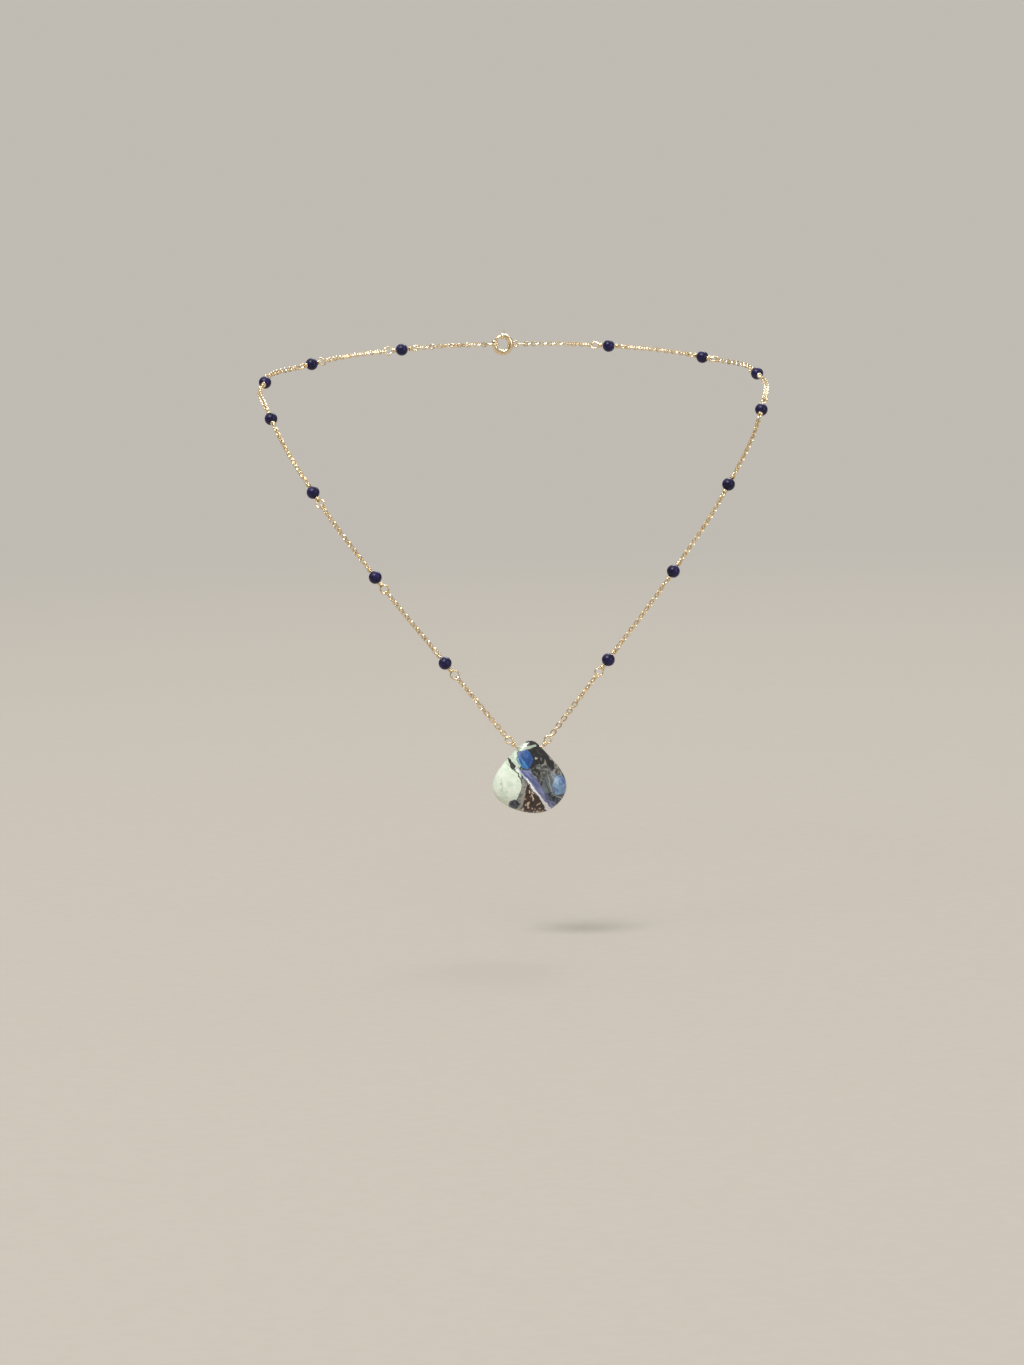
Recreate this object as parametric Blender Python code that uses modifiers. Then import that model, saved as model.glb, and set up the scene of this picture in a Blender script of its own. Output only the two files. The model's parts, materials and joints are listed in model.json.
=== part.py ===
"""Pendant necklace: a side-drilled stone drop on a wire, hung from two chains of cable-chain runs and
beads on eye pins, and closed at the nape by a spring-ring clasp.

Metres, +Z up, +Y towards the nape, -X the wearer's right. The origin lies midway between the two
points where the necklace passes over the shoulders. The necklace has the shape it takes when worn.
"""

import math

import bmesh
import bpy
from mathutils import Matrix, Vector

MM = 0.001

# Beads and the eye pins through them
BEADS_PER_SIDE = 7
BEAD_SPACING = 25.4 * MM
BEAD_DIAMETER = 3.0 * MM
BEAD_HOLE = 0.75 * MM
PIN_WIRE = 0.41 * MM
EYE_BORE = 1.5 * MM
EYE_SWEEP = 296
WRAP_LENGTH = 0.8 * MM
WRAP_DIAMETER = 1.2 * MM
BEAD_PLAY = 0.08 * MM

# Cable chain
CHAIN_WIDTH = 1.1 * MM
LINK_WIRE = 0.3 * MM
LINK_BORE = 0.9 * MM
LINK_PITCH = 1.0 * MM
LINKS_TO_PENDANT = 18
LINKS_TO_CLASP = 17
LINK_PLAY = 0.08 * MM
BAR_CLEARANCE = 0.35 * MM

# Stone drop, and the wire through it
STONE_WIDTH = 17.1 * MM
STONE_HEIGHT = 16.8 * MM
STONE_THICKNESS = 7.0 * MM
STONE_TAPER = 0.42
STONE_HOLE = 0.9 * MM
HOLE_BELOW_TOP = 1.6 * MM
ARM_OUT = 0.45 * MM
ARM_SPREAD = 1.35 * MM
ARM_RISE = 1.6 * MM

# Spring-ring clasp and its rings
CLASP_DIAMETER = 5.5 * MM
CLASP_TUBE = 1.4 * MM
CLASP_BORE = 0.9 * MM
BOLT_WIRE = 0.62 * MM
BOLT_TAB_WIRE = 0.4 * MM
BOLT_TAB_LENGTH = 1.35 * MM
TAB_SLOT = 0.56 * MM
GATE_FROM = 100
GATE_TO = 150
BOLT_SEAT = 8
BOLT_FROM = 60
TAB_AT = 82
BOLT_TRAVEL = 58
SLOT_MARGIN = 7
BORE_END = -62
SEAT_END = 168
SPRING_WIRE = 0.12 * MM
SPRING_TURNS = 7
SPRING_GAP = 3
RING_WIRE = 0.4 * MM
TAIL_BORE = 1.0 * MM
JUMP_RING_BORE = 1.6 * MM
END_RING_WIRE = 0.5 * MM
END_RING_BORE = 2.8 * MM
RING_PLAY = 0.05 * MM

# The half line of the worn necklace, pendant to clasp: sideways bow, depth and height in millimetres.
# The whole line is scaled to the length that the beads and chain runs need.
NECK_LINE = (
    (0.0, -54.0, -81.6),
    (13.2, -52.2, -65.0),
    (28.8, -48.8, -45.2),
    (42.8, -40.4, -25.8),
    (52.8, -24.4, -8.6),
    (54.8, 0.0, 0.0),
    (45.6, 20.5, 3.6),
    (27.0, 32.0, 6.6),
    (0.0, 36.5, 8.0),
)
NECK_CENTRE = Vector((0.0, 10.0, -45.0)) * MM
LINE_STEPS = 24

# Facets
WIRE_SIDES = 1
TUBE_SIDES = 2
EYE_STEPS = 8
RUN_STEPS = 6
BEAD_TURNS = 12
BEAD_STEPS = 7
STONE_SEGMENTS = 28
STONE_RINGS = 16
RING_SEGMENTS = 16
LINK_SEGMENTS = 10
LINK_SIDES = 6
ARC_STEP = 15

# Sizes that follow from those above
EYE_RADIUS = (EYE_BORE + PIN_WIRE) / 2
EYE_CENTRE = BEAD_DIAMETER / 2 + BEAD_PLAY + WRAP_LENGTH + PIN_WIRE / 2 + EYE_RADIUS
EYE_REACH = EYE_CENTRE + EYE_RADIUS
LINK_RADIUS = (LINK_BORE + LINK_WIRE) / 2
STONE_SHOULDER = 1.076
HOLE_HEIGHT = STONE_HEIGHT / 2 - HOLE_BELOW_TOP
CLASP_RADIUS = (CLASP_DIAMETER - CLASP_TUBE) / 2
END_RING_RADIUS = (END_RING_BORE + END_RING_WIRE) / 2
JUMP_RING_RADIUS = (JUMP_RING_BORE + RING_WIRE) / 2
TAIL_RADIUS = (TAIL_BORE + RING_WIRE) / 2
TAIL_CENTRE = CLASP_DIAMETER / 2 + TAIL_BORE / 2
END_RING_IN_CLASP = CLASP_TUBE / 2 + END_RING_WIRE / 2 + RING_PLAY
JUMP_RING_IN_TAIL = RING_WIRE + RING_PLAY
END_RING_SPAN = CLASP_RADIUS - END_RING_IN_CLASP + 2 * END_RING_RADIUS
TAIL_SPAN = TAIL_CENTRE + TAIL_RADIUS - JUMP_RING_IN_TAIL + 2 * JUMP_RING_RADIUS
CLASP_HALF_SPAN = (END_RING_SPAN + TAIL_SPAN) / 2
CLASP_OFFSET = (END_RING_SPAN - TAIL_SPAN) / 2
SIDES = {"left": -1, "right": 1}

GOLD = ("gold", (0.86, 0.68, 0.36, 1.0), 0.22, 1.0)
BEAD_STONE = ("bead_stone", (0.015, 0.012, 0.06, 1.0), 0.3, 0.0)
DROP_STONE = ("drop_stone", (0.35, 0.55, 0.5, 1.0), 0.15, 0.0)


def clear_scene():
    for obj in list(bpy.data.objects):
        bpy.data.objects.remove(obj, do_unlink=True)


def make_collection(name):
    collection = bpy.data.collections.new(name)
    bpy.context.scene.collection.children.link(collection)
    return collection


def make_material(name, colour, roughness, metallic):
    material = bpy.data.materials.new(name)
    material.use_nodes = True
    shader = material.node_tree.nodes["Principled BSDF"]
    shader.inputs["Base Color"].default_value = colour
    shader.inputs["Roughness"].default_value = roughness
    shader.inputs["Metallic"].default_value = metallic
    return material


# ---------------------------------------------------------------- helpers


def add_object(name, data, collection, material=None, place=None):
    obj = bpy.data.objects.new(name, data)
    collection.objects.link(obj)
    if material and not data.materials:
        data.materials.append(material)
    if place is not None:
        obj.matrix_world = place
    return obj


def baked_mesh(obj, weld=1e-7):
    """The object's evaluated mesh with its caps welded. The object is removed."""
    bpy.context.view_layer.update()
    graph = bpy.context.evaluated_depsgraph_get()
    mesh = bpy.data.meshes.new_from_object(obj.evaluated_get(graph))
    bpy.data.objects.remove(obj, do_unlink=True)
    work = bmesh.new()
    work.from_mesh(mesh)
    bmesh.ops.remove_doubles(work, verts=work.verts, dist=weld)
    bmesh.ops.recalc_face_normals(work, faces=work.faces)
    work.to_mesh(mesh)
    work.free()
    mesh.shade_smooth()
    mesh.set_sharp_from_angle(angle=math.radians(40))
    return mesh


def wire_mesh(name, points, radius, sides=WIRE_SIDES, radii=None):
    """A round wire along the points, with flat capped ends."""
    curve = bpy.data.curves.new(name, "CURVE")
    curve.dimensions = "3D"
    curve.bevel_depth = radius
    curve.bevel_resolution = sides
    curve.use_fill_caps = True
    spline = curve.splines.new("POLY")
    spline.points.add(len(points) - 1)
    for number, point in enumerate(points):
        spline.points[number].co = (*point, 1.0)
        spline.points[number].radius = radii[number] / radius if radii else 1.0
    obj = add_object(name, curve, bpy.context.scene.collection)
    return baked_mesh(obj)


def ring_mesh(name, radius, wire, segments=RING_SEGMENTS, sides=8):
    """A closed ring in the local XY plane."""
    bpy.ops.mesh.primitive_torus_add(
        major_radius=radius,
        minor_radius=wire / 2,
        major_segments=segments,
        minor_segments=sides,
    )
    obj = bpy.context.active_object
    obj.name = name
    return baked_mesh(obj)


def boolean(obj, other, operation):
    modifier = obj.modifiers.new(f"{operation.lower()} {other.name}", "BOOLEAN")
    modifier.operation = operation
    modifier.object = other


def add_cutter(name, mesh, collection, place=None):
    cutter = add_object(name, mesh, collection, place=place)
    cutter.hide_render = True
    cutter.display_type = "WIRE"
    return cutter


def frame_at(point, along, outward):
    """A placing matrix: local Z along the necklace, local Y away from the wearer."""
    z_axis = along.normalized()
    y_axis = (outward - z_axis * outward.dot(z_axis)).normalized()
    x_axis = y_axis.cross(z_axis)
    turn = Matrix((x_axis, y_axis, z_axis)).transposed().to_4x4()
    return Matrix.Translation(point) @ turn


def mirrored(vector, side):
    return Vector((vector.x * SIDES[side], vector.y, vector.z))


# ---------------------------------------------------------------- neck line


def spline_point(points, at):
    """A point on the smooth curve through the points; at runs from 0 to the last point's number."""
    number = min(int(at), len(points) - 2)
    share = at - number
    before = points[number - 1] if number else points[0] * 2 - points[1]
    here, there = points[number], points[number + 1]
    last = number + 2 == len(points)
    after = there * 2 - here if last else points[number + 2]
    if last:
        after = Vector((-here.x, here.y, here.z))
    slope_here = (there - before) / 2
    slope_there = (after - here) / 2
    square, cube = share**2, share**3
    return (
        here * (2 * cube - 3 * square + 1)
        + slope_here * (cube - 2 * square + share)
        + there * (3 * square - 2 * cube)
        + slope_there * (cube - square)
    )


def half_length():
    """Length of one side, from the pendant's eye to the clasp's ring."""
    beads = (BEADS_PER_SIDE - 1) * BEAD_SPACING + 2 * EYE_REACH
    return run_length(LINKS_TO_PENDANT) + beads + run_length(LINKS_TO_CLASP)


def run_length(links):
    """Distance between the two eyes' bars that a run of so many links joins."""
    return links * LINK_PITCH - PIN_WIRE


class NeckLine:
    """The necklace's right half as a curve measured by its own length."""

    def __init__(self):
        self.length = half_length()
        low, high = 0.5, 2.0
        for _ in range(40):
            scale = (low + high) / 2
            self.set_scale(scale)
            if self.lengths[-1] < self.length:
                low = scale
            else:
                high = scale

    def set_scale(self, scale):
        start, end = pendant_eye_bar().x, CLASP_HALF_SPAN
        count = len(NECK_LINE) - 1
        anchors = []
        for number, (bow, depth, height) in enumerate(NECK_LINE):
            straight = start + (end - start) * number / count
            point = Vector((bow, depth, height)) * MM * scale
            anchors.append(point + Vector((straight, 0, 0)))
        steps = count * LINE_STEPS
        self.points = [spline_point(anchors, number / LINE_STEPS) for number in range(steps + 1)]
        self.lengths = [0.0]
        for one, two in zip(self.points, self.points[1:]):
            self.lengths.append(self.lengths[-1] + (two - one).length)

    def at(self, length):
        for number, reached in enumerate(self.lengths[1:]):
            if reached >= length or number == len(self.lengths) - 2:
                before = self.lengths[number]
                share = (length - before) / (reached - before)
                return self.points[number].lerp(self.points[number + 1], share)

    def outward(self, length):
        return self.at(length) - NECK_CENTRE


# ---------------------------------------------------------------- beads, pins and chain


def eye_loop(centre, radius):
    """Points round an eye at this height on the pin, from the shank side to the wire's tip."""
    points = []
    for number in range(EYE_STEPS + 1):
        angle = math.pi / 2 + math.radians(EYE_SWEEP) * (number / EYE_STEPS - 0.5)
        points.append(Vector((radius * math.cos(angle), 0, centre + radius * math.sin(angle))))
    return points


def make_pin_mesh():
    """One wire: an eye, a wrapped neck, the shank through the bead, and the same again turned over."""
    thin, thick = PIN_WIRE / 2, WRAP_DIAMETER / 2
    foot = BEAD_DIAMETER / 2 + BEAD_PLAY
    step = 0.05 * PIN_WIRE
    half = [
        (Vector((0, 0, foot)), thin),
        (Vector((0, 0, foot + step)), thick),
        (Vector((0, 0, foot + WRAP_LENGTH - step)), thick),
        (Vector((0, 0, foot + WRAP_LENGTH)), thin),
    ]
    half += [(point, thin) for point in eye_loop(EYE_CENTRE, EYE_RADIUS)]
    other = [(Vector((-point.x, 0, -point.z)), radius) for point, radius in reversed(half)]
    line = other + half
    return wire_mesh("pin", [p for p, _ in line], thin, radii=[r for _, r in line])


def make_bead_mesh():
    """A ball turned about its hole."""
    radius, hole = BEAD_DIAMETER / 2, BEAD_HOLE / 2
    rim = math.asin(hole / radius)
    work = bmesh.new()
    ring = []
    for number in range(BEAD_STEPS + 1):
        angle = rim + (math.pi - 2 * rim) * number / BEAD_STEPS
        ring.append(work.verts.new((radius * math.sin(angle), 0, radius * math.cos(angle))))
    for one, two in zip(ring, ring[1:] + ring[:1]):
        work.edges.new((one, two))
    profile = bpy.data.meshes.new("bead_profile")
    work.to_mesh(profile)
    work.free()
    obj = add_object("bead_profile", profile, bpy.context.scene.collection)
    turn = obj.modifiers.new("turn", "SCREW")
    turn.steps = turn.render_steps = BEAD_TURNS
    turn.use_merge_vertices = True
    turn.merge_threshold = 1e-7
    return baked_mesh(obj)


def bead_at(line, number):
    """Centre, direction and outward normal of a bead on the right-hand side; number starts at 1."""
    length = run_length(LINKS_TO_PENDANT) + EYE_REACH + (number - 1) * BEAD_SPACING
    along = line.at(length + EYE_REACH) - line.at(length - EYE_REACH)
    return line.at(length), along.normalized(), line.outward(length)


def run_ends(line, number):
    """The two eye bars that run number joins; run 1 hangs from bead 1 and holds the pendant."""
    if number == 1:
        start = line.at(0)
    else:
        centre, along, _ = bead_at(line, number - 1)
        start = centre + along * EYE_REACH
    if number > BEADS_PER_SIDE:
        end = line.at(line.length)
    else:
        centre, along, _ = bead_at(line, number)
        end = centre - along * EYE_REACH
    return start, end


def run_points(line, number):
    """Points along a run's middle line, from bar to bar, with the outward normal at both ends."""
    start, end = run_ends(line, number)
    if number == 1:
        first = 0.0
    else:
        first = run_length(LINKS_TO_PENDANT) + 2 * EYE_REACH + (number - 2) * BEAD_SPACING
    last = line.length
    if number <= BEADS_PER_SIDE:
        last = run_length(LINKS_TO_PENDANT) + (number - 1) * BEAD_SPACING
    shift_start = start - line.at(first)
    shift_end = end - line.at(last)
    points = []
    for step in range(RUN_STEPS + 1):
        share = step / RUN_STEPS
        point = line.at(first + (last - first) * share)
        points.append(point + shift_start.lerp(shift_end, share))
    return points, line.outward(first), line.outward(last)


def end_link_place(bar, along, normal, bar_wire, side):
    """An end link round a bar: its ring lies in the plane of the chain and the given normal."""
    hooked = bar_wire / 2 + LINK_WIRE / 2 + LINK_PLAY
    centre = bar + along * (LINK_RADIUS - hooked)
    place = frame_at(mirrored(centre, side), mirrored(along, side), mirrored(normal, side))
    quarter_facet = math.pi / 2 / LINK_SEGMENTS
    return place @ Matrix.Rotation(math.pi / 2, 4, "Y") @ Matrix.Rotation(quarter_facet, 4, "Z")


def make_run(name, line, number, side, link_mesh, material, group, helpers):
    """A chain run as a bar of the chain's width with its two end links, each through an eye."""
    points, normal_start, normal_end = run_points(line, number)
    along_start = (points[1] - points[0]).normalized()
    along_end = (points[-2] - points[-1]).normalized()
    bar_wire_end = PIN_WIRE
    if number > BEADS_PER_SIDE:
        bar_wire_end = END_RING_WIRE if side == "left" else RING_WIRE
        normal_end = Vector((0, 0, 1))
    body = [mirrored(point, side) for point in points]
    body[0] += mirrored(along_start, side) * (PIN_WIRE / 2 + BAR_CLEARANCE)
    body[-1] += mirrored(along_end, side) * (bar_wire_end / 2 + BAR_CLEARANCE)
    mesh = wire_mesh(name, body, CHAIN_WIDTH / 2, sides=TUBE_SIDES)
    run = add_object(name, mesh, group, material)
    ends = (
        (points[0], along_start, normal_start, PIN_WIRE),
        (points[-1], along_end, normal_end, bar_wire_end),
    )
    for bar, along, normal, bar_wire in ends:
        place = end_link_place(bar, along, normal, bar_wire, side)
        link = add_cutter(f"{name}_end_link", link_mesh, helpers, place)
        boolean(run, link, "UNION")
    return run


# ---------------------------------------------------------------- pendant


def stone_half_width(height):
    """Half the stone's width at a height above its middle."""
    cosine = height / (STONE_HEIGHT / 2)
    sine = math.sqrt(1 - cosine**2)
    return STONE_WIDTH / 2 / STONE_SHOULDER * sine * (1 - STONE_TAPER * cosine)


def hole_mouth():
    return stone_half_width(HOLE_HEIGHT)


def pendant_eye_centre():
    """The right-hand eye's centre, from the middle of the stone's hole."""
    return Vector((hole_mouth() + ARM_SPREAD, 0, ARM_RISE))


def pendant_pull():
    """The direction in which the chain leaves the pendant's right-hand eye, in radians from +X."""
    return math.atan2(NECK_LINE[1][2] - NECK_LINE[0][2], NECK_LINE[1][0])


def pendant_eye_bar():
    """Where the first link rests in the right-hand eye, from the middle of the stone's hole."""
    pull = pendant_pull()
    return pendant_eye_centre() + Vector((math.cos(pull), 0, math.sin(pull))) * EYE_RADIUS


def make_stone(name, place, material, group, helpers):
    work = bmesh.new()
    bmesh.ops.create_uvsphere(
        work, u_segments=STONE_SEGMENTS, v_segments=STONE_RINGS, radius=1.0
    )
    for vert in work.verts:
        height = vert.co.z
        swell = 1 - STONE_TAPER * height
        vert.co.x *= STONE_WIDTH / 2 / STONE_SHOULDER * swell
        vert.co.y *= STONE_THICKNESS / 2 / STONE_SHOULDER * swell
        vert.co.z = height * STONE_HEIGHT / 2 - HOLE_HEIGHT
    mesh = bpy.data.meshes.new(name)
    work.to_mesh(mesh)
    work.free()
    mesh.shade_smooth()
    stone = add_object(name, mesh, group, material, place)
    bpy.ops.mesh.primitive_cylinder_add(
        vertices=12, radius=STONE_HOLE / 2, depth=STONE_WIDTH, rotation=(0, math.pi / 2, 0)
    )
    drill = bpy.context.active_object
    drill.name = "stone_drill"
    drill.matrix_world = place @ drill.matrix_world
    drill.users_collection[0].objects.unlink(drill)
    helpers.objects.link(drill)
    drill.hide_render = True
    drill.display_type = "WIRE"
    boolean(stone, drill, "DIFFERENCE")
    return stone


def make_pendant_wire(name, place, material, group):
    """One wire through the stone: each end bends up and outward and closes in an eye."""
    centre = pendant_eye_centre()
    mouth = hole_mouth()
    half = [Vector((mouth + ARM_OUT, 0, 0))]
    for number in range(EYE_STEPS + 1):
        angle = pendant_pull() + math.radians(EYE_SWEEP) * (number / EYE_STEPS - 0.5)
        turn = Vector((math.cos(angle), 0, math.sin(angle)))
        half.append(centre + turn * EYE_RADIUS)
    other = [Vector((-point.x, 0, point.z)) for point in reversed(half)]
    mesh = wire_mesh(name, other + half, PIN_WIRE / 2)
    return add_object(name, mesh, group, material, place)


# ---------------------------------------------------------------- clasp


def arc_points(radius, start, end, step=ARC_STEP):
    """Points round the clasp ring's middle line, angles in degrees from +X towards +Z."""
    count = max(2, round(abs(end - start) / step))
    points = []
    for number in range(count + 1):
        angle = math.radians(start + (end - start) * number / count)
        points.append(Vector((radius * math.cos(angle), 0, radius * math.sin(angle))))
    return points


def make_clasp_ring(name, place, material, group, helpers):
    """The hollow ring: open at the gate, bored for the bolt, slotted for its tab, with a tail loop."""
    outer = arc_points(CLASP_RADIUS, GATE_TO, GATE_FROM + 360)
    mesh = wire_mesh(name, outer, CLASP_TUBE / 2, sides=3)
    ring = add_object(name, mesh, group, material, place)
    upright = Matrix.Rotation(math.pi / 2, 4, "X")
    tail = ring_mesh("clasp_tail", TAIL_RADIUS, RING_WIRE)
    tail_place = place @ Matrix.Translation((TAIL_CENTRE, 0, 0)) @ upright
    boolean(ring, add_cutter("clasp_tail", tail, helpers, tail_place), "UNION")
    bore = wire_mesh("clasp_bore", arc_points(CLASP_RADIUS, BORE_END, SEAT_END), CLASP_BORE / 2, sides=2)
    boolean(ring, add_cutter("clasp_bore", bore, helpers, place), "DIFFERENCE")
    for label, depth in (("inner", CLASP_BORE / 2), ("outer", CLASP_TUBE / 2)):
        slot_line = arc_points(
            CLASP_RADIUS + depth, TAB_AT + SLOT_MARGIN, TAB_AT - BOLT_TRAVEL - SLOT_MARGIN
        )
        slot = wire_mesh(f"clasp_slot_{label}", slot_line, TAB_SLOT / 2, sides=2)
        boolean(ring, add_cutter(f"clasp_slot_{label}", slot, helpers, place), "DIFFERENCE")
    return ring


def make_clasp_bolt(name, place, material, group, helpers):
    """The curved bolt that closes the gate, with its thumb tab."""
    line = arc_points(CLASP_RADIUS, BOLT_FROM, GATE_TO + BOLT_SEAT)
    bolt = add_object(name, wire_mesh(name, line, BOLT_WIRE / 2, sides=2), group, material, place)
    angle = math.radians(TAB_AT)
    outward = Vector((math.cos(angle), 0, math.sin(angle)))
    ends = [outward * CLASP_RADIUS, outward * (CLASP_RADIUS + BOLT_TAB_LENGTH)]
    tab = wire_mesh("bolt_tab", ends, BOLT_TAB_WIRE / 2, sides=2)
    boolean(bolt, add_cutter("bolt_tab", tab, helpers, place), "UNION")
    return bolt


def make_clasp_spring(name, place, material, group):
    """The return spring, coiled in the ring's bore behind the bolt."""
    start, end = BOLT_FROM - SPRING_GAP, BORE_END + SPRING_GAP
    coil = CLASP_BORE / 2 - SPRING_WIRE
    steps = SPRING_TURNS * 7
    points = []
    for number in range(steps + 1):
        share = number / steps
        angle = math.radians(start + (end - start) * share)
        turn = 2 * math.pi * SPRING_TURNS * share
        outward = Vector((math.cos(angle), 0, math.sin(angle)))
        swing = outward * coil * math.cos(turn) + Vector((0, coil * math.sin(turn), 0))
        points.append(outward * CLASP_RADIUS + swing)
    mesh = wire_mesh(name, points, SPRING_WIRE / 2, sides=0)
    return add_object(name, mesh, group, material, place)


def make_clasp(line, gold, group, helpers):
    nape = line.at(line.length)
    centre = Matrix.Translation((CLASP_OFFSET, nape.y, nape.z))
    make_clasp_ring("clasp_ring", centre, gold, group, helpers)
    make_clasp_bolt("clasp_bolt", centre, gold, group, helpers)
    make_clasp_spring("clasp_spring", centre, gold, group)
    end_x = -CLASP_HALF_SPAN + END_RING_RADIUS
    end_place = Matrix.Translation((end_x, nape.y, nape.z))
    add_object("end_ring", ring_mesh("end_ring", END_RING_RADIUS, END_RING_WIRE), group, gold, end_place)
    jump_x = CLASP_HALF_SPAN - JUMP_RING_RADIUS
    jump_place = Matrix.Translation((jump_x, nape.y, nape.z))
    add_object("jump_ring", ring_mesh("jump_ring", JUMP_RING_RADIUS, RING_WIRE), group, gold, jump_place)


# ---------------------------------------------------------------- necklace


def build_necklace():
    clear_scene()
    group = make_collection("pendant_necklace")
    helpers = make_collection("cutters")
    gold = make_material(*GOLD)
    bead_stone = make_material(*BEAD_STONE)
    drop_stone = make_material(*DROP_STONE)
    line = NeckLine()

    pin_mesh = make_pin_mesh()
    bead_mesh = make_bead_mesh()
    link_mesh = ring_mesh("end_link", LINK_RADIUS, LINK_WIRE, LINK_SEGMENTS, LINK_SIDES)
    for side in SIDES:
        for number in range(1, BEADS_PER_SIDE + 1):
            centre, along, outward = bead_at(line, number)
            place = frame_at(mirrored(centre, side), mirrored(along, side), mirrored(outward, side))
            add_object(f"pin_{side}_{number}", pin_mesh, group, gold, place)
            add_object(f"bead_{side}_{number}", bead_mesh, group, bead_stone, place)
        for number in range(1, BEADS_PER_SIDE + 2):
            make_run(f"chain_{side}_{number}", line, number, side, link_mesh, gold, group, helpers)

    front = line.at(0)
    hole = Matrix.Translation((0, front.y, front.z - pendant_eye_bar().z))
    make_stone("pendant_stone", hole, drop_stone, group, helpers)
    make_pendant_wire("pendant_wire", hole, gold, group)
    make_clasp(line, gold, group, helpers)
    return line


if __name__ == "__main__":
    build_necklace()
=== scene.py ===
import json
import math
import random

import bmesh
import bpy
from mathutils import Matrix, Vector


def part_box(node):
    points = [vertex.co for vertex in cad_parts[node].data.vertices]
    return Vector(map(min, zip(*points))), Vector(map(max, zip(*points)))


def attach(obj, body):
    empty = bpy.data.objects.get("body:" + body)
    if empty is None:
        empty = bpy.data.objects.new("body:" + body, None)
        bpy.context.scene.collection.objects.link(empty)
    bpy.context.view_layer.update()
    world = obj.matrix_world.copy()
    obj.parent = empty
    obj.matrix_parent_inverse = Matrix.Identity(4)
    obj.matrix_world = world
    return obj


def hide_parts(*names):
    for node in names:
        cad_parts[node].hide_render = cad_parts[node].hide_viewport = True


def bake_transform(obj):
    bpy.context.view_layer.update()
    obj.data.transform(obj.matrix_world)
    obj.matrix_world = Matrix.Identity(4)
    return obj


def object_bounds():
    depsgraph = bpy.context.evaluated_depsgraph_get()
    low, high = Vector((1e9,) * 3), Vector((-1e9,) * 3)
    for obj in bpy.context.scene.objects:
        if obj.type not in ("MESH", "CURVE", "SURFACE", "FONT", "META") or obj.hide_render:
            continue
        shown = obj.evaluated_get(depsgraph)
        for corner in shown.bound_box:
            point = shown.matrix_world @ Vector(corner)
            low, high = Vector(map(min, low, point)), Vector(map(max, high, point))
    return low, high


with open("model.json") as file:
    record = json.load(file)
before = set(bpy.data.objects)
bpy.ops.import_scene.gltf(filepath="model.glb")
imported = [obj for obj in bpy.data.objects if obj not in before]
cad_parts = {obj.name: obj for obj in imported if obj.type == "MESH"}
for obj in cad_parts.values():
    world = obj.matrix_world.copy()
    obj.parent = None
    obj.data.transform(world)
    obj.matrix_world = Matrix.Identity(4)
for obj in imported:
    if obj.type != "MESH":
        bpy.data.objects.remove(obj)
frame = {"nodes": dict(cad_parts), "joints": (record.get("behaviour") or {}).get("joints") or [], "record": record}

# Looks of a pendant necklace: gold cable chain, dark beads on wrapped eye pins, and a polished,
# mottled stone drop. Metres; +X to the wearer's left, +Y to the nape, +Z up.

MM = 0.001
CAD_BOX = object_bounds()
JOINTS = {joint["name"]: joint for joint in frame["joints"]}
BODY_OF = {node: body for body, nodes in frame["record"]["behaviour"]["bodies"].items() for node in nodes}
SIDES = {"left": -1, "right": 1}
BEADS_PER_SIDE = 7

# Wire, eyes and beads
WIRE = 0.205 * MM
EYE_RADIUS = 0.955 * MM
BEAD_RADIUS = 1.5 * MM
BEAD_HOLE = 0.375 * MM
BEAD_PLAY = 0.06 * MM
BEAD_FACES = 36
RIM_BEVEL = 0.05 * MM
WRAP_TURNS = 2
WRAP_STEPS = 14
EYE_CENTRE = 3.54 * MM
EYE_STEPS = 24
NECK_CENTRE = Vector((0.0, 10.0, -45.0)) * MM

# Cable chain
LINK_WIRE = 0.165 * MM
LINK_ARC = 0.5 * MM
LINK_PITCH = 1.0 * MM
LINK_STEPS = 14
LINKS = 17
DROP_LINKS = 18
# How far the first and the last link of a run are turned about it, and how far the others sway, in degrees
TWIST = (45, 45)
DROP_TWIST = (90, 45)
CLASP_TWIST = (45, 0)
LINK_SWAY = 4
RUN_SAMPLES = 200
RUN_STEP = 0.2 * MM

# Meshes: points this close are one point
WELD = 1e-8
SOLID_WELD = 1e-6

rng = random.Random(7)


# ---------------------------------------------------------------- modelling helpers


def deselect_all():
    if bpy.context.mode != "OBJECT":
        bpy.ops.object.mode_set(mode="OBJECT")
    bpy.ops.object.select_all(action="DESELECT")


def edit_selected(obj, pick):
    """Enters edit mode on the object with only the picked vertices selected."""
    bpy.context.view_layer.objects.active = obj
    bpy.ops.object.mode_set(mode="EDIT")
    bpy.ops.mesh.select_mode(type="VERT")
    bpy.ops.mesh.select_all(action="DESELECT")
    mesh = bmesh.from_edit_mesh(obj.data)
    for vert in mesh.verts:
        vert.select = pick(vert.co)
    mesh.select_flush(True)
    bmesh.update_edit_mesh(obj.data)


def leave_edit():
    bpy.ops.object.mode_set(mode="OBJECT")


def apply_place(obj):
    """Puts the object's place into its mesh, so that the object sits at the origin."""
    obj.data.transform(obj.matrix_world)
    obj.matrix_world = Matrix.Identity(4)
    obj.data.update()


def apply_modifiers(obj):
    deselect_all()
    obj.select_set(True)
    bpy.context.view_layer.objects.active = obj
    for modifier in list(obj.modifiers):
        bpy.ops.object.modifier_apply(modifier=modifier.name)


def tidy_shell(obj, weld=WELD):
    """Merges doubles and turns the faces outward."""
    edit_selected(obj, lambda co: True)
    bpy.ops.mesh.remove_doubles(threshold=weld)
    bpy.ops.mesh.normals_make_consistent(inside=False)
    leave_edit()


def smooth(obj, angle=50):
    deselect_all()
    obj.select_set(True)
    bpy.context.view_layer.objects.active = obj
    bpy.ops.object.shade_smooth_by_angle(angle=math.radians(angle))


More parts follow.
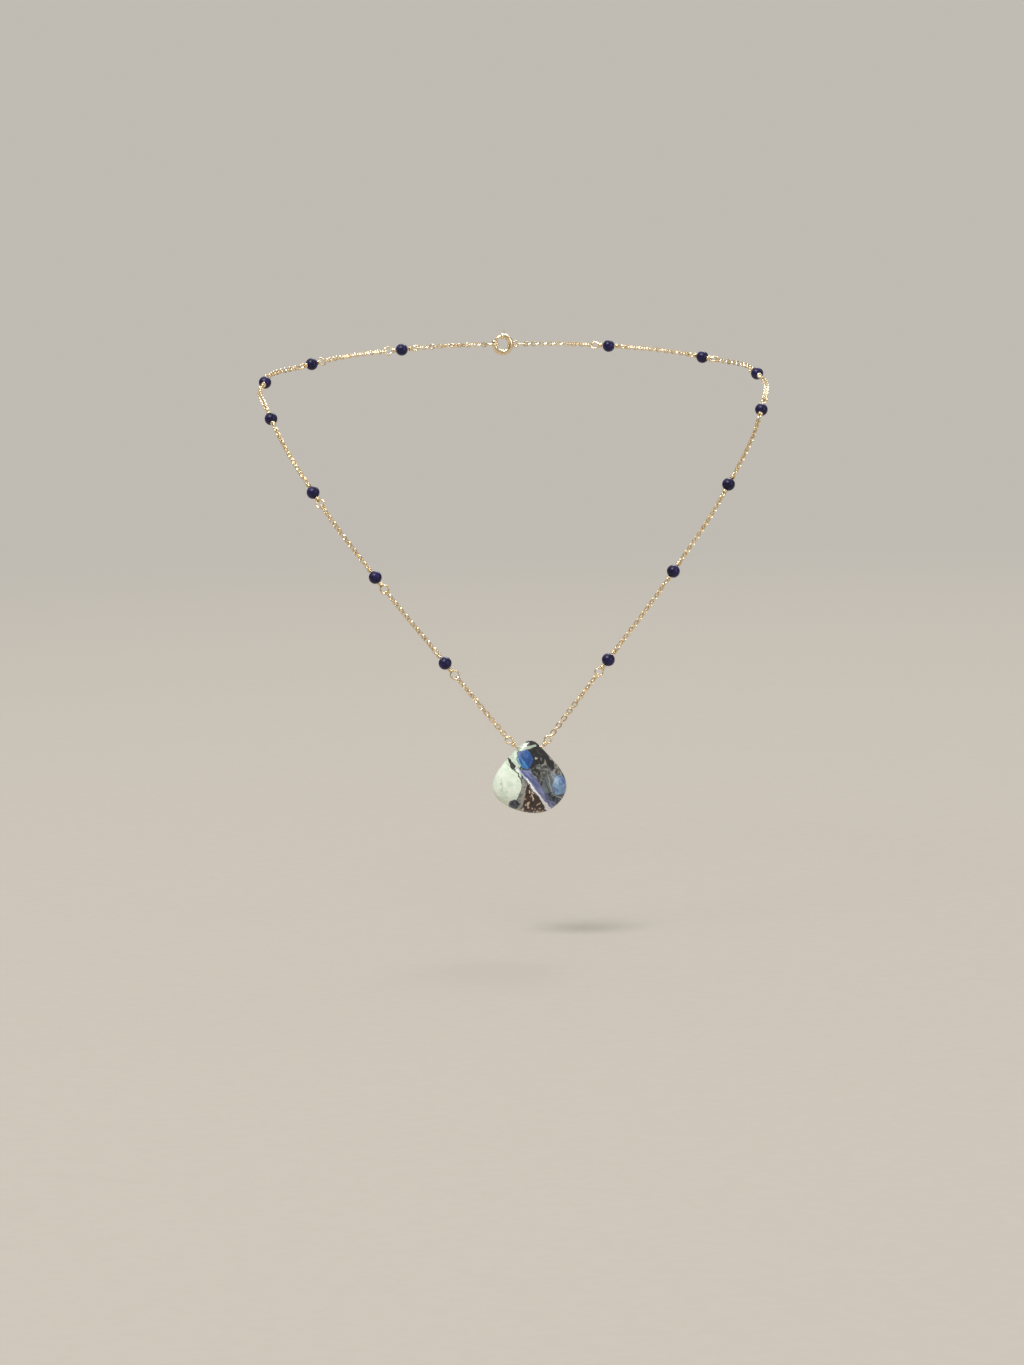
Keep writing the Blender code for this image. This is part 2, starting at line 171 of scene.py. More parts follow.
def copy_of(source, name, place):
    copy = bpy.data.objects.new(name, source.data.copy())
    bpy.context.scene.collection.objects.link(copy)
    copy.data.transform(place)
    return copy


def joined(pieces, name):
    deselect_all()
    for piece in pieces:
        piece.select_set(True)
    bpy.context.view_layer.objects.active = pieces[0]
    bpy.ops.object.join()
    pieces[0].name = name
    return pieces[0]


def drop(obj):
    bpy.data.objects.remove(obj, do_unlink=True)


def wire(name, points, radius, roundness=3):
    """Round wire along the points, capped at both ends and made a mesh."""
    deselect_all()
    curve = bpy.data.curves.new(name, "CURVE")
    curve.dimensions = "3D"
    curve.bevel_depth = radius
    curve.bevel_resolution = roundness
    curve.use_fill_caps = True
    spline = curve.splines.new("POLY")
    spline.points.add(len(points) - 1)
    for number, point in enumerate(points):
        spline.points[number].co = (*point, 1.0)
    obj = bpy.data.objects.new(name, curve)
    bpy.context.scene.collection.objects.link(obj)
    obj.select_set(True)
    bpy.context.view_layer.objects.active = obj
    bpy.ops.object.convert(target="MESH")
    obj = bpy.context.view_layer.objects.active
    tidy_shell(obj)
    return obj


def frame_at(point, along, outward):
    """A placing matrix: local Z along the necklace, local Y away from the wearer."""
    z_axis = along.normalized()
    y_axis = (outward - z_axis * outward.dot(z_axis)).normalized()
    x_axis = y_axis.cross(z_axis)
    return Matrix.Translation(point) @ Matrix((x_axis, y_axis, z_axis)).transposed().to_4x4()


def finish_piece(obj, node, material):
    """Gives a piece its finish and the body it moves with, and hides the CAD node that it stands for."""
    obj.data.materials.clear()
    obj.data.materials.append(material)
    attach(obj, BODY_OF[node])
    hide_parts(node)


# ---------------------------------------------------------------- materials


class Nodes:
    """Short ways to add and link the nodes of one tree."""

    def __init__(self, tree):
        self.tree = tree

    def add(self, kind, **values):
        node = self.tree.nodes.new(kind)
        for key, value in values.items():
            setattr(node, key, value)
        return node

    def link(self, source, target):
        self.tree.links.new(source, target)

    def put(self, socket, value):
        if isinstance(value, bpy.types.NodeSocket):
            self.link(value, socket)
        else:
            socket.default_value = value

    def math(self, operation, one, two=0.0, three=0.0, clamp=False):
        node = self.add("ShaderNodeMath", operation=operation, use_clamp=clamp)
        for socket, value in zip(node.inputs, (one, two, three)):
            self.put(socket, value)
        return node.outputs[0]

    def vector(self, operation, one, two=(0, 0, 0)):
        node = self.add("ShaderNodeVectorMath", operation=operation)
        self.put(node.inputs[0], one)
        self.put(node.inputs[1], two)
        return node.outputs[0]

    def scaled(self, vector, factor):
        node = self.add("ShaderNodeVectorMath", operation="SCALE")
        self.link(vector, node.inputs[0])
        self.put(node.inputs["Scale"], factor)
        return node.outputs[0]

    def dot(self, one, two):
        node = self.add("ShaderNodeVectorMath", operation="DOT_PRODUCT")
        self.put(node.inputs[0], one)
        self.put(node.inputs[1], two)
        return node.outputs["Value"]

    def length(self, vector):
        node = self.add("ShaderNodeVectorMath", operation="LENGTH")
        self.link(vector, node.inputs[0])
        return node.outputs["Value"]

    def mix(self, share, one, two):
        node = self.add("ShaderNodeMix", data_type="RGBA")
        self.put(node.inputs[0], share)
        self.put(node.inputs[6], one)
        self.put(node.inputs[7], two)
        return node.outputs[2]

    def noise(self, vector, scale, detail=3.0, roughness=0.5, distortion=0.0):
        node = self.add("ShaderNodeTexNoise")
        self.link(vector, node.inputs["Vector"])
        node.inputs["Scale"].default_value = scale
        node.inputs["Detail"].default_value = detail
        node.inputs["Roughness"].default_value = roughness
        node.inputs["Distortion"].default_value = distortion
        return node

    def cells(self, vector, scale):
        node = self.add("ShaderNodeTexVoronoi", feature="F1")
        self.link(vector, node.inputs["Vector"])
        node.inputs["Scale"].default_value = scale
        return node

    def spread(self, value, low, high, to_low=0.0, to_high=1.0):
        node = self.add("ShaderNodeMapRange", interpolation_type="SMOOTHSTEP")
        self.link(value, node.inputs["Value"])
        for name, number in (("From Min", low), ("From Max", high), ("To Min", to_low), ("To Max", to_high)):
            node.inputs[name].default_value = number
        return node.outputs[0]

    def ramp(self, value, stops):
        node = self.add("ShaderNodeValToRGB")
        self.link(value, node.inputs[0])
        ramp = node.color_ramp
        while len(ramp.elements) < len(stops):
            ramp.elements.new(0.5)
        for element, (place, colour) in zip(ramp.elements, stops):
            element.position = place
            element.color = (*colour, 1.0)
        return node.outputs[0]


def new_group(name, inputs, outputs):
    tree = bpy.data.node_groups.new(name, "ShaderNodeTree")
    for label, kind, value in inputs:
        socket = tree.interface.new_socket(label, in_out="INPUT", socket_type=kind)
        if value is not None:
            socket.default_value = value
    for label, kind in outputs:
        tree.interface.new_socket(label, in_out="OUTPUT", socket_type=kind)
    nodes = Nodes(tree)
    return tree, nodes, nodes.add("NodeGroupInput").outputs, nodes.add("NodeGroupOutput").inputs


MARKS_SHARE = 0.4
MARKS_HEIGHT = 0.05 * MM


def polish_group():
    """Fine polishing marks and soft smudges: a roughness and a normal."""
    tree, nodes, given, result = new_group(
        "polish",
        [
            ("Vector", "NodeSocketVector", None),
            ("Scale", "NodeSocketFloat", 1.0),
            ("Gloss", "NodeSocketFloat", 0.2),
            ("Spread", "NodeSocketFloat", 0.1),
            ("Depth", "NodeSocketFloat", 0.1),
        ],
        [("Roughness", "NodeSocketFloat"), ("Normal", "NodeSocketVector")],
    )
    place = nodes.scaled(given["Vector"], given["Scale"])
    smudge = nodes.noise(place, scale=1.0, detail=4.0)
    marks = nodes.noise(place, scale=6.0, detail=2.0, distortion=1.5)
    swing = nodes.math("SUBTRACT", smudge.outputs[0], 0.5)
    rough = nodes.math("MULTIPLY_ADD", swing, given["Spread"], given["Gloss"])
    nodes.link(rough, result["Roughness"])
    fine = nodes.math("MULTIPLY", marks.outputs[0], MARKS_SHARE)
    height = nodes.math("ADD", fine, smudge.outputs[0])
    bump = nodes.add("ShaderNodeBump")
    bump.inputs["Distance"].default_value = MARKS_HEIGHT
    nodes.link(given["Depth"], bump.inputs["Strength"])
    nodes.link(height, bump.inputs["Height"])
    nodes.link(bump.outputs[0], result["Normal"])
    return tree


def new_material(name):
    material = bpy.data.materials.new(name)
    material.use_nodes = True
    tree = material.node_tree
    nodes = Nodes(tree)
    shader = tree.nodes["Principled BSDF"]
    place = nodes.add("ShaderNodeTexCoord").outputs["Object"]
    return material, nodes, shader, place


def add_polish(nodes, shader, place, group, scale, gloss, spread, depth):
    polish = nodes.add("ShaderNodeGroup", node_tree=group)
    nodes.link(place, polish.inputs["Vector"])
    for label, value in (("Scale", scale), ("Gloss", gloss), ("Spread", spread), ("Depth", depth)):
        polish.inputs[label].default_value = value
    nodes.link(polish.outputs["Roughness"], shader.inputs["Roughness"])
    nodes.link(polish.outputs["Normal"], shader.inputs["Normal"])


def gold_material(polish):
    """Pale yellow gold wire: bright, with soft patches where it has been handled."""
    material, nodes, shader, place = new_material("pale_gold")
    tone = nodes.noise(place, scale=900.0, detail=3.0)
    colour = nodes.ramp(
        tone.outputs[0],
        [(0.30, (0.78, 0.61, 0.36)), (0.55, (0.92, 0.76, 0.50)), (0.75, (0.98, 0.85, 0.62))],
    )
    nodes.link(colour, shader.inputs["Base Color"])
    shader.inputs["Metallic"].default_value = 1.0
    add_polish(nodes, shader, place, polish, scale=1400.0, gloss=0.2, spread=0.16, depth=0.12)
    return material


def bead_material(polish):
    """Almost black blue bead stone with faint violet clouds and fine pale specks."""
    material, nodes, shader, place = new_material("bead_stone")
    cloud = nodes.noise(place, scale=700.0, detail=4.0, distortion=0.8)
    colour = nodes.ramp(
        cloud.outputs[0],
        [(0.32, (0.003, 0.002, 0.018)), (0.52, (0.009, 0.007, 0.058)), (0.74, (0.030, 0.020, 0.13))],
    )
    specks = nodes.cells(place, scale=2600.0)
    speck = nodes.spread(specks.outputs["Distance"], 0.10, 0.16, to_low=1.0, to_high=0.0)
    rare = nodes.spread(nodes.noise(place, scale=1100.0).outputs[0], 0.56, 0.64)
    colour = nodes.mix(nodes.math("MULTIPLY", speck, rare), colour, (0.06, 0.05, 0.16, 1))
    nodes.link(colour, shader.inputs["Base Color"])
    shader.inputs["Specular IOR Level"].default_value = 0.30
    add_polish(nodes, shader, place, polish, scale=900.0, gloss=0.33, spread=0.16, depth=0.2)
    return material


# Edges in the stone's pattern, in millimetres
VEIN_EDGE = 0.12
SIDE_EDGE = 0.15


def patch_group():
    """A soft-edged oval patch: 1 inside, 0 outside."""
    tree, nodes, given, result = new_group(
        "oval_patch",
        [
            ("Vector", "NodeSocketVector", None),
            ("Middle", "NodeSocketVector", None),
            ("Radii", "NodeSocketVector", None),
            ("Turn", "NodeSocketFloat", 0.0),
            ("Edge", "NodeSocketFloat", 0.1),
        ],
        [("Mask", "NodeSocketFloat")],
    )
    away = nodes.vector("SUBTRACT", given["Vector"], given["Middle"])
    turn = nodes.add("ShaderNodeVectorRotate", rotation_type="Y_AXIS")
    nodes.link(away, turn.inputs["Vector"])
    nodes.link(given["Turn"], turn.inputs["Angle"])
    share = nodes.vector("DIVIDE", turn.outputs[0], given["Radii"])
    inside = nodes.math("SUBTRACT", 1.0, nodes.length(share))
    mask = nodes.math("DIVIDE", inside, given["Edge"])
    nodes.link(nodes.math("ADD", mask, 0.5, clamp=True), result["Mask"])
    return tree


def vein_group():
    """A straight vein between two points: 1 on its line, 0 beyond its half width."""
    tree, nodes, given, result = new_group(
        "vein",
        [
            ("Vector", "NodeSocketVector", None),
            ("From", "NodeSocketVector", None),
            ("To", "NodeSocketVector", None),
            ("Width", "NodeSocketFloat", 0.2),
            ("Growth", "NodeSocketFloat", 0.0),
        ],
        [("Mask", "NodeSocketFloat")],
    )
    span = nodes.vector("SUBTRACT", given["To"], given["From"])
    away = nodes.vector("SUBTRACT", given["Vector"], given["From"])
    share = nodes.math("DIVIDE", nodes.dot(away, span), nodes.dot(span, span), clamp=True)
    gap = nodes.length(nodes.vector("SUBTRACT", away, nodes.scaled(span, share)))
    width = nodes.math("MULTIPLY_ADD", share, given["Growth"], given["Width"])
    edge = nodes.math("DIVIDE", nodes.math("SUBTRACT", width, gap), VEIN_EDGE)
    nodes.link(nodes.math("ADD", edge, 0.5, clamp=True), result["Mask"])
    return tree


def side_group():
    """One side of a straight line: 1 to the left of it, seen from the front, and 0 to the right."""
    tree, nodes, given, result = new_group(
        "side_of_line",
        [
            ("Vector", "NodeSocketVector", None),
            ("From", "NodeSocketVector", None),
            ("To", "NodeSocketVector", None),
            ("Edge", "NodeSocketFloat", SIDE_EDGE),
        ],
        [("Mask", "NodeSocketFloat")],
    )
    span = nodes.vector("NORMALIZE", nodes.vector("SUBTRACT", given["To"], given["From"]))
    across = nodes.vector("CROSS_PRODUCT", span, (0.0, 1.0, 0.0))
    away = nodes.vector("SUBTRACT", given["Vector"], given["From"])
    height = nodes.dot(away, across)
    mask = nodes.math("DIVIDE", height, given["Edge"])
    nodes.link(nodes.math("ADD", mask, 0.5, clamp=True), result["Mask"])
    return tree


class StonePattern:
    """Colour fields laid one over another.

    Places are in millimetres from the stone's middle, sideways and up."""

    def __init__(self, nodes, flat):
        self.nodes = nodes
        self.flat = flat
        self.trees = {"oval": patch_group(), "vein": vein_group(), "side": side_group()}
        self.colour = None

    def mask(self, kind, **values):
        node = self.nodes.add("ShaderNodeGroup", node_tree=self.trees[kind])
        self.nodes.link(self.flat, node.inputs["Vector"])
        for label, value in values.items():
            socket = node.inputs[label]
            socket.default_value = (value[0], 0.0, value[1]) if isinstance(value, tuple) else value
        return node.outputs["Mask"]

    def oval(self, middle, radii, turn=0.0, edge=0.08):
        return self.mask("oval", Middle=middle, Radii=radii, Turn=math.radians(turn), Edge=edge)

    def vein(self, start, end, width, growth=0.0):
        return self.mask("vein", From=start, To=end, Width=width, Growth=growth)

    def side(self, start, end):
        return self.mask("side", From=start, To=end, Edge=SIDE_EDGE)

    # Lays a mask at part strength, as for the painted reflection streak
    def faint(self, mask):
        return self.nodes.math("MULTIPLY", mask, PAINTED_REFLECTION_SHARE)

    def all_of(self, *masks):
        whole = masks[0]
        for mask in masks[1:]:
            whole = self.nodes.math("MULTIPLY", whole, mask)
        return whole

    def lay(self, mask, colour):
        colour = (*colour, 1.0) if isinstance(colour, tuple) else colour
        self.colour = self.nodes.mix(mask, self.colour, colour)


MINT = (0.66, 0.80, 0.66)
MINT_PALE = (0.84, 0.93, 0.82)
MINT_GREY = (0.40, 0.50, 0.40)
BLACK = (0.006, 0.006, 0.006)
SOOT = (0.03, 0.03, 0.028)
AZURE_DEEP = (0.006, 0.028, 0.13)
AZURE = (0.012, 0.075, 0.30)
AZURE_LIGHT = (0.05, 0.22, 0.50)
CYAN = (0.16, 0.42, 0.52)
PERIWINKLE_DEEP = (0.085, 0.10, 0.22)
PERIWINKLE = (0.15, 0.175, 0.36)
PERIWINKLE_PALE = (0.27, 0.30, 0.52)
WHITE = (0.88, 0.87, 0.90)
VEIN_BLUE = (0.50, 0.58, 0.72)
BROWN_DEEP = (0.012, 0.006, 0.004)
BROWN = (0.05, 0.022, 0.013)
COPPER = (0.42, 0.24, 0.14)
COPPER_PALE = (0.66, 0.52, 0.40)
GREY_DARK = (0.035, 0.036, 0.034)
GREY = (0.11, 0.115, 0.11)
GREY_PALE = (0.36, 0.36, 0.33)
OLIVE_GREY = (0.20, 0.19, 0.155)
TEAL_DARK = (0.055, 0.075, 0.09)
TEAL_GREY = (0.15, 0.19, 0.22)
SKY = (0.13, 0.22, 0.46)
SKY_PALE = (0.26, 0.42, 0.60)
TEAL = (0.12, 0.29, 0.42)
NAVY = (0.012, 0.018, 0.045)
NAVY_GREY = (0.12, 0.16, 0.22)

# The pattern: lean of the fibres in degrees, stretch upwards, strength of the painted reflection streak on the
# pale green field, and in millimetres how the layers slant towards the back and how far they waver
FIBRE_LEAN = 40
PATTERN_STRETCH = 1.08
PAINTED_REFLECTION_SHARE = 0.45
SLANT_FROM = 0.5
SLANT_SIDEWAYS = 0.7
SLANT_UP = -0.5
WARP_REACH = 1.3
RIPPLE_REACH = 0.24
BLOT_SHIFT = (7.0, 3.0, 1.0)


def stone_grounds(nodes, point, bent):
    """The mottled colour of each kind of mineral in the stone."""
    cloud = nodes.noise(point, scale=0.75, detail=4.0, roughness=0.55).outputs[0]
    shifted = nodes.vector("ADD", bent, BLOT_SHIFT)
    blot = nodes.noise(shifted, scale=1.25, detail=3.0, roughness=0.55, distortion=0.6).outputs[0]
    grit = nodes.noise(point, scale=5.0, detail=3.0, roughness=0.6).outputs[0]
    turned = nodes.add("ShaderNodeVectorRotate", rotation_type="Y_AXIS")
    nodes.link(bent, turned.inputs["Vector"])
    turned.inputs["Angle"].default_value = math.radians(FIBRE_LEAN)
    rays = nodes.vector("MULTIPLY", turned.outputs[0], (2.2, 1.0, 0.7))
    fibre = nodes.noise(rays, scale=0.55, detail=2.5, roughness=0.5, distortion=0.4).outputs[0]
    flakes = nodes.cells(nodes.vector("MULTIPLY", bent, (1.25, 1.0, 0.75)), scale=1.0)
    flake = nodes.spread(flakes.outputs["Distance"], 0.26, 0.34, to_low=1.0, to_high=0.0)
    tint = nodes.add("ShaderNodeSeparateColor")
    nodes.link(flakes.outputs["Color"], tint.inputs[0])
    chosen = nodes.spread(tint.outputs[0], 0.30, 0.36)
    copper = nodes.mix(tint.outputs[1], (*COPPER, 1), (*COPPER_PALE, 1))
    brown = nodes.ramp(blot, [(0.40, BROWN_DEEP), (0.60, BROWN)])
    return {
        "mint": nodes.ramp(cloud, [(0.33, MINT), (0.60, MINT_PALE)]),
        "mint_grey": nodes.ramp(blot, [(0.35, MINT_GREY), (0.60, MINT)]),
        "black": nodes.ramp(blot, [(0.48, BLACK), (0.66, SOOT)]),
        "azure": nodes.ramp(fibre, [(0.30, AZURE_DEEP), (0.48, AZURE), (0.64, AZURE_LIGHT), (0.80, CYAN)]),
        "periwinkle": nodes.ramp(
            fibre, [(0.32, PERIWINKLE_DEEP), (0.48, PERIWINKLE), (0.66, PERIWINKLE_PALE)]
        ),
        "grey": nodes.ramp(blot, [(0.34, BLACK), (0.44, GREY_DARK), (0.55, GREY), (0.70, GREY_PALE)]),
        "olive": nodes.ramp(blot, [(0.36, GREY_DARK), (0.52, OLIVE_GREY), (0.68, GREY_PALE)]),
        "teal": nodes.ramp(fibre, [(0.36, TEAL_DARK), (0.50, TEAL_GREY), (0.62, GREY), (0.72, TEAL_GREY)]),
        "sky": nodes.ramp(
            blot, [(0.30, PERIWINKLE), (0.46, SKY), (0.56, SKY_PALE), (0.66, TEAL), (0.76, SKY_PALE)]
        ),
        "navy": nodes.ramp(blot, [(0.40, BLACK), (0.50, NAVY), (0.60, NAVY_GREY), (0.68, NAVY)]),
        "brown": nodes.mix(nodes.math("MULTIPLY", flake, chosen), brown, copper),
        "strip": nodes.ramp(blot, [(0.35, GREY), (0.62, GREY_PALE)]),
        "grit": grit,
    }


# The largest flakes in the brown wedge: middle, half sizes and turn
COPPER_FLAKES = (
    ((-0.5, -5.6), (0.30, 0.60), -15),
    ((-1.6, -6.7), (0.26, 0.50), -40),
    ((-0.8, -7.6), (0.40, 0.24), 10),
    ((0.5, -4.5), (0.18, 0.34), 20),
    ((0.0, -2.9), (0.15, 0.45), 5),
    ((1.9, -7.4), (0.14, 0.42), 50),
    ((1.7, -5.7), (0.16, 0.28), -20),
)


def lay_stone_fields(pattern, ground):
    """The fields and veins in the order in which they cover each other."""
    oval, vein, side, lay = pattern.oval, pattern.vein, pattern.side, pattern.lay
    pattern.colour = ground["grey"]
    lay(oval((4.4, 4.2), (2.2, 3.6), -35), ground["olive"])
    lay(oval((1.6, 4.9), (2.4, 3.0), -25), ground["black"])
    lay(vein((2.6, 7.1), (5.2, 2.2), 0.35, 0.25), BLACK)
    lay(oval((6.9, 2.4), (1.3, 1.9), 20), ground["olive"])
    lay(oval((1.5, 4.0), (0.30, 0.24)), GREY_PALE)
    lay(oval((2.6, 3.9), (0.22, 0.40), 15), GREY)
    lay(oval((5.9, 2.8), (0.35, 0.28), 30), GREY_PALE)
    # the grey mottled field and the teal stripes below it
    lay(oval((2.9, 1.2), (2.3, 1.7), -10), ground["grey"])
    lay(oval((4.3, -2.2), (1.9, 3.1), -12), ground["teal"])
    lay(vein((3.3, 0.1), (4.6, -3.9), 0.10, 0.06), TEAL_DARK)
    lay(vein((4.2, 0.3), (5.0, -2.9), 0.07, 0.05), GREY_PALE)
    lay(oval((6.2, -5.0), (2.6, 1.7), -35), ground["navy"])
    # the pale green main field, its band up to the top, and the dark wedge between them
    lay(oval((-6.7, -0.6), (4.75, 5.9), edge=0.05), ground["mint"])
    lay(oval((-5.6, 3.6), (2.4, 3.4), -25), ground["mint"])
    lay(oval((-2.9, 5.3), (1.55, 3.3), -38), ground["mint_grey"])
    lay(oval((-3.0, 3.0), (1.0, 1.6), -35), ground["mint_grey"])
    # Painted reflection: a dim darker streak down the pale green field, laid at part strength
    lay(pattern.faint(vein((-6.5, -0.2), (-6.35, -2.6), 0.12, 0.10)), MINT_GREY)
    lay(vein((-4.9, 4.5), (-3.7, 2.5), 0.03, 0.50), BLACK)
    lay(vein((-3.9, 2.7), (-1.9, -0.2), 0.13, -0.02), GREY_DARK)
    lay(oval((-7.0, 2.6), (0.65, 0.22), 30), BLACK)
    # the dark top, the blue eye, and a painted highlight: a pale band below the top
    lay(oval((0.3, 8.1), (2.0, 1.0), -6), ground["black"])
    lay(oval((-0.85, 4.15), (1.98, 2.22), 10), BLACK)
    lay(oval((-1.05, 4.0), (1.72, 1.98), 10, 0.06), ground["azure"])
    lay(vein((-2.1, 2.7), (-2.6, 4.1), 0.10, 0.05), CYAN)
    # Painted highlight: a pale grey-green band across the top, just under the dark cap
    lay(vein((-1.9, 6.0), (1.5, 6.7), 0.34, -0.14), MINT_GREY)
    # the lilac band and the parts beside it
    band = pattern.all_of(
        side((-2.4, 1.6), (4.6, -7.4)), side((4.9, -5.4), (-0.6, 2.9)), side((6.0, 1.75), (-4.0, 1.75))
    )
    lay(band, ground["periwinkle"])
    lay(oval((5.2, -5.9), (1.0, 0.75), -35), ground["periwinkle"])
    lay(oval((7.0, -1.8), (1.75, 2.15), edge=0.10), ground["sky"])
    lay(vein((5.0, -3.2), (7.9, -5.2), 0.09, 0.04), GREY_PALE)
    # the brown wedge, the strip on its left and the dark blue corner
    wedge = pattern.all_of(side((4.6, -7.4), (-0.9, -0.9)), side((-0.7, -0.9), (-2.9, -8.4)))
    lay(pattern.all_of(side((4.6, -7.4), (-1.6, 0.2)), side((-1.4, 0.6), (-4.0, -8.4))), ground["strip"])
    lay(oval((-3.7, -6.1), (1.25, 1.75), 18), ground["navy"])
    lay(wedge, ground["brown"])
    for middle, radii, turn in COPPER_FLAKES:
        lay(oval(middle, radii, turn, 0.25), COPPER_PALE)
    lay(vein((-0.9, -1.5), (-1.4, -3.6), 0.10, 0.10), GREY_PALE)
    lay(vein((-1.4, -3.6), (-2.5, -6.8), 0.20, 0.20), GREY_PALE)
    lay(vein((-2.6, 1.95), (-0.25, -1.1), 0.13, 0.05), VEIN_BLUE)
    lay(vein((-0.9, -0.25), (1.5, -2.9), 0.16, 0.04), WHITE)
    lay(vein((1.5, -2.9), (2.8, -4.9), 0.20, 0.10), WHITE)
    lay(vein((2.8, -4.9), (4.5, -7.3), 0.30, 0.32), WHITE)


def drop_material(polish, middle):
    """Polished stone of green, blue, black and brown fields with white veins."""
    material, nodes, shader, place = new_material("mottled_drop_stone")
    shift = nodes.vector("SUBTRACT", place, tuple(middle))
    point = nodes.scaled(shift, 1 / MM)
    depth = nodes.add("ShaderNodeSeparateXYZ")
    nodes.link(point, depth.inputs[0])
    lean = nodes.math("MAXIMUM", nodes.math("ADD", depth.outputs["Y"], SLANT_FROM), 0.0)
    slant = nodes.add("ShaderNodeCombineXYZ")
    nodes.link(nodes.math("MULTIPLY", lean, SLANT_SIDEWAYS), slant.inputs["X"])
    nodes.link(nodes.math("MULTIPLY", lean, SLANT_UP), slant.inputs["Z"])
    warp = nodes.noise(point, scale=0.45, detail=2.0)
    ripple = nodes.noise(point, scale=1.5, detail=1.0)
    bent = nodes.vector("ADD", point, slant.outputs[0])
    for source, reach in ((warp, WARP_REACH), (ripple, RIPPLE_REACH)):
        swing = nodes.vector("SUBTRACT", source.outputs["Color"], (0.5, 0.5, 0.5))
        bent = nodes.vector("ADD", bent, nodes.scaled(swing, reach))
    pattern = StonePattern(nodes, nodes.vector("MULTIPLY", bent, (1.0, 0.0, 1 / PATTERN_STRETCH)))
    ground = stone_grounds(nodes, point, bent)
    lay_stone_fields(pattern, ground)
    specks = nodes.cells(bent, scale=0.8)
    speck = nodes.spread(specks.outputs["Distance"], 0.10, 0.15, to_low=1.0, to_high=0.0)
    tint = nodes.add("ShaderNodeSeparateColor")
    nodes.link(specks.outputs["Color"], tint.inputs[0])
    rare = nodes.spread(tint.outputs[0], 0.66, 0.70)
    pattern.lay(nodes.math("MULTIPLY", speck, rare), SOOT)
    fine = nodes.ramp(
        ground["grit"], [(0.30, (0.93, 0.93, 0.93)), (0.55, (1.0, 1.0, 1.0)), (0.75, (1.05, 1.05, 1.05))]
    )
    grained = nodes.add("ShaderNodeMix", data_type="RGBA", blend_type="MULTIPLY")
    grained.inputs[0].default_value = 1.0
    nodes.link(pattern.colour, grained.inputs[6])
    nodes.link(fine, grained.inputs[7])
    nodes.link(grained.outputs[2], shader.inputs["Base Color"])
    shader.inputs["Coat Weight"].default_value = 0.45
    shader.inputs["Coat Roughness"].default_value = 0.06
    add_polish(nodes, shader, place, polish, scale=500.0, gloss=0.26, spread=0.14, depth=0.05)
    return material


# ---------------------------------------------------------------- beads and pins


def joint_place(name):
    joint = JOINTS[name]
    return Vector(joint["pos_m"]), Vector(joint.get("axis", (0, 0, 1))).normalized()


def model_bead():
    """A drilled ball: its poles are opened, joined by the bore, and eased at both rims."""
    deselect_all()
    bpy.ops.mesh.primitive_uv_sphere_add(segments=BEAD_FACES, ring_count=BEAD_FACES, radius=BEAD_RADIUS)
    bead = bpy.context.active_object
    ring_step = math.pi / BEAD_FACES
    rim_ring = round(math.asin(BEAD_HOLE / BEAD_RADIUS) / ring_step)
    rim = BEAD_RADIUS * math.cos(rim_ring * ring_step)
    edit_selected(bead, lambda co: abs(co.z) > rim + SOLID_WELD)
    bpy.ops.mesh.delete(type="VERT")
    leave_edit()
    edit_selected(bead, lambda co: abs(co.z) > rim - SOLID_WELD)
    bpy.ops.mesh.bridge_edge_loops()
    leave_edit()
    bevel = bead.modifiers.new("rim", "BEVEL")
    bevel.width = RIM_BEVEL
    bevel.segments = 2
    bevel.limit_method = "ANGLE"
    bevel.angle_limit = math.radians(50)
    apply_modifiers(bead)
    tidy_shell(bead)
    smooth(bead, 40)
    return bead


def eye_turn(centre, radius, steps, start, end):
    points = []
    for number in range(steps + 1):
        angle = math.radians(start + (end - start) * number / steps)
        points.append(Vector((radius * math.cos(angle), 0, centre + radius * math.sin(angle))))
    return points


def wrap_turns(low, high, radius, turns, start):
    """Helix down the shank from high to low."""
    steps = turns * WRAP_STEPS
    points = []
    for number in range(steps + 1):
        share = number / steps
        angle = math.radians(start) + 2 * math.pi * turns * share
        height = high + (low - high) * share
        points.append(Vector((radius * math.cos(angle), radius * math.sin(angle), height)))
    return points


def model_pin_end():
    """Half an eye pin: shank, round eye, and the wire's tail wrapped twice round the neck."""
    foot = BEAD_RADIUS + BEAD_PLAY + WIRE
    neck = foot + WRAP_TURNS * 2 * WIRE
    line = [Vector((0, 0, 0)), Vector((0, 0, neck - WIRE))]
    line += eye_turn(EYE_CENTRE, EYE_RADIUS, EYE_STEPS, start=-64, end=236)
    line += wrap_turns(foot, neck, radius=2.05 * WIRE, turns=WRAP_TURNS, start=180)
    end = wire("pin_end", line, WIRE)
    smooth(end)
    return end


# How far each pin's eyes are turned out of the lie of the necklace, in degrees: the eye towards the
# drop, then the eye towards the clasp. Each is turned so that the link that it holds passes through it.
EYE_TURNS = {
    ("left", 1): (5, -62), ("left", 2): (-8, -72), ("left", 3): (-8, -70), ("left", 4): (-78, -70),
    ("left", 5): (-20, -75), ("left", 6): (-5, -80), ("left", 7): (-65, -10),
    ("right", 1): (12, -74), ("right", 2): (-84, -80), ("right", 3): (-78, -82), ("right", 4): (-86, -60),
    ("right", 5): (-15, -70), ("right", 6): (-75, -8), ("right", 7): (-10, -82),
}


def outward_at(point):
    """Away from the wearer: straight forward on the chest, and away from the neck behind it."""
    away = (point - NECK_CENTRE).normalized()
    chest = min(max(-2.0 * away.y, 0.0), 1.0)
    return away.lerp(Vector((0, -1, 0)), chest)


